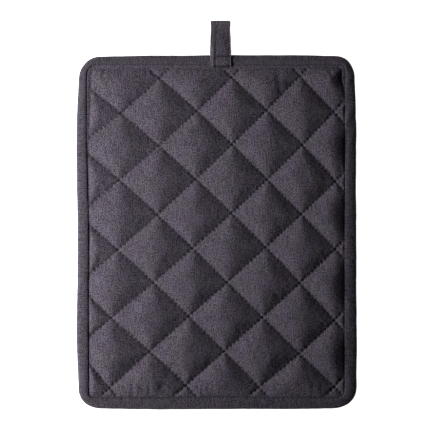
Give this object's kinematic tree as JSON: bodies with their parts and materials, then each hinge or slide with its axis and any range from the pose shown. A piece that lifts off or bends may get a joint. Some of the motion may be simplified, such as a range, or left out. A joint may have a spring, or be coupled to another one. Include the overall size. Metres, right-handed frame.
{
  "type": "quilted pot holder",
  "caption": "Rectangular padded pot holder quilted in diamonds, with a bound edge, rounded corners and a tape loop to hang it by.",
  "frame": {"origin": "middle of the part's outline, loop included, on the surface that the pot holder lies on", "axes": "+Z out of the quilted face, +Y along the longer side towards the hanging loop, +X to the right of the face"},
  "size_m": [0.2012, 0.2794, 0.0092],
  "materials": {
    "quilted_linen": "matt plain-weave linen, charcoal with a heathered yarn",
    "binding_linen": "matt linen strip, folded over the edge, crosswise ribs",
    "loop_tape": "matt linen tape, stitched along one side"
  },
  "bodies": {
    "root": {"quilted_pad": "quilted_linen", "edge_binding": "binding_linen", "hanging_loop": "loop_tape"}
  },
  "joints": []
}
